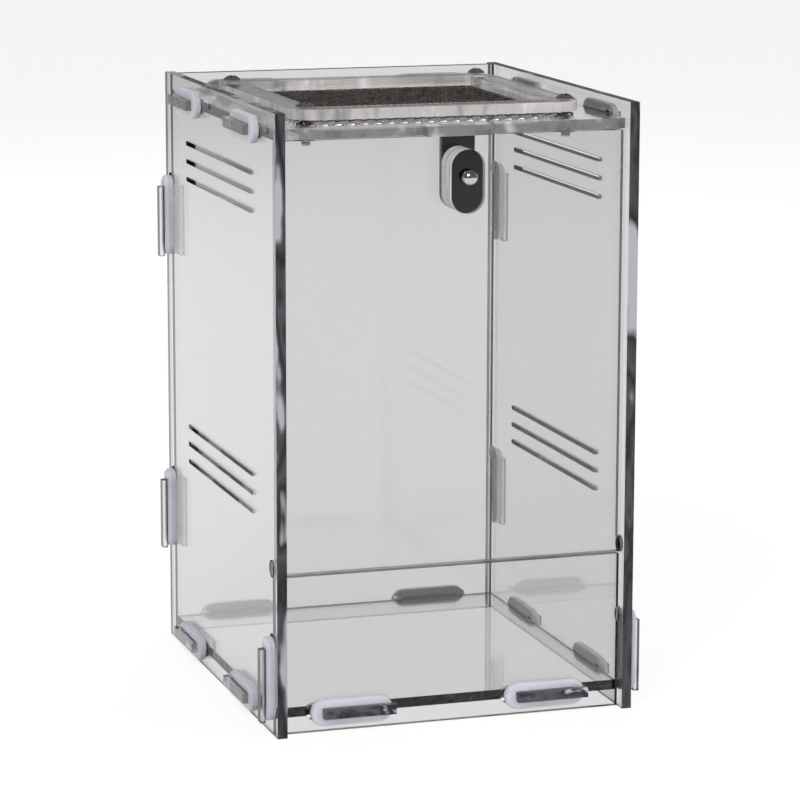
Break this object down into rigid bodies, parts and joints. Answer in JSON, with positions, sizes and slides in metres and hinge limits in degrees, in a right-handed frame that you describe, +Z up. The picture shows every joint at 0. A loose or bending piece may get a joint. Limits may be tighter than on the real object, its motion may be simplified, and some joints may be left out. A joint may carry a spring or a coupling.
{
  "type": "reptile terrarium",
  "caption": "Small upright terrarium of clear sheets joined by hooked tabs and silicone rings, with a drop-down front door, sliding latch and screened lid.",
  "frame": {"origin": "bottom centre of the object's box: on the table, midway between the latch screw's head and the rear tabs' ends, and midway between the side tabs' ends", "axes": "+Z up, -Y towards the door at the front, +X to the right seen from the front"},
  "size_m": [0.118, 0.1366, 0.1831],
  "materials": {
    "clear_acrylic": "clear cast acrylic sheet, polished faces, laser-cut glossy edges",
    "black_acrylic": "glossy black acrylic",
    "silicone": "milky translucent silicone, satin",
    "steel": "polished stainless steel",
    "woven_wire": "dull woven stainless wire"
  },
  "bodies": {
    "cabin": {"left_side_panel": "clear_acrylic", "right_side_panel": "clear_acrylic", "back_panel": "clear_acrylic", "front_lower_panel": "clear_acrylic", "floor_panel": "clear_acrylic", "top_panel": "clear_acrylic", "mesh_screen": "woven_wire", "lid_frame_plate": "clear_acrylic", "lid_screws": "steel", "lid_nuts": "steel", "left_back_rings": "silicone", "left_front_rings": "silicone", "left_floor_rings": "silicone", "left_top_rings": "silicone", "right_back_rings": "silicone", "right_front_rings": "silicone", "right_floor_rings": "silicone", "right_top_rings": "silicone", "front_floor_rings": "silicone", "back_floor_rings": "silicone", "back_top_rings": "silicone"},
    "door": {"door_panel": "clear_acrylic"},
    "latch": {"latch_bolt": "black_acrylic", "latch_grip_inner": "clear_acrylic", "latch_grip_middle": "clear_acrylic", "latch_grip_outer": "clear_acrylic", "latch_screw": "steel", "latch_washer": "steel", "latch_nut": "steel"}
  },
  "joints": [
    {"name": "door_hinge", "type": "hinge", "parent": "cabin", "child": "door", "pos_m": [0, -0.05225, 0.0497], "axis": [1, 0, 0], "range_deg": [0, 105]},
    {"name": "latch_slide", "type": "slide", "parent": "door", "child": "latch", "axis": [0, 0, 1], "range_m": [0, 0.003]}
  ]
}
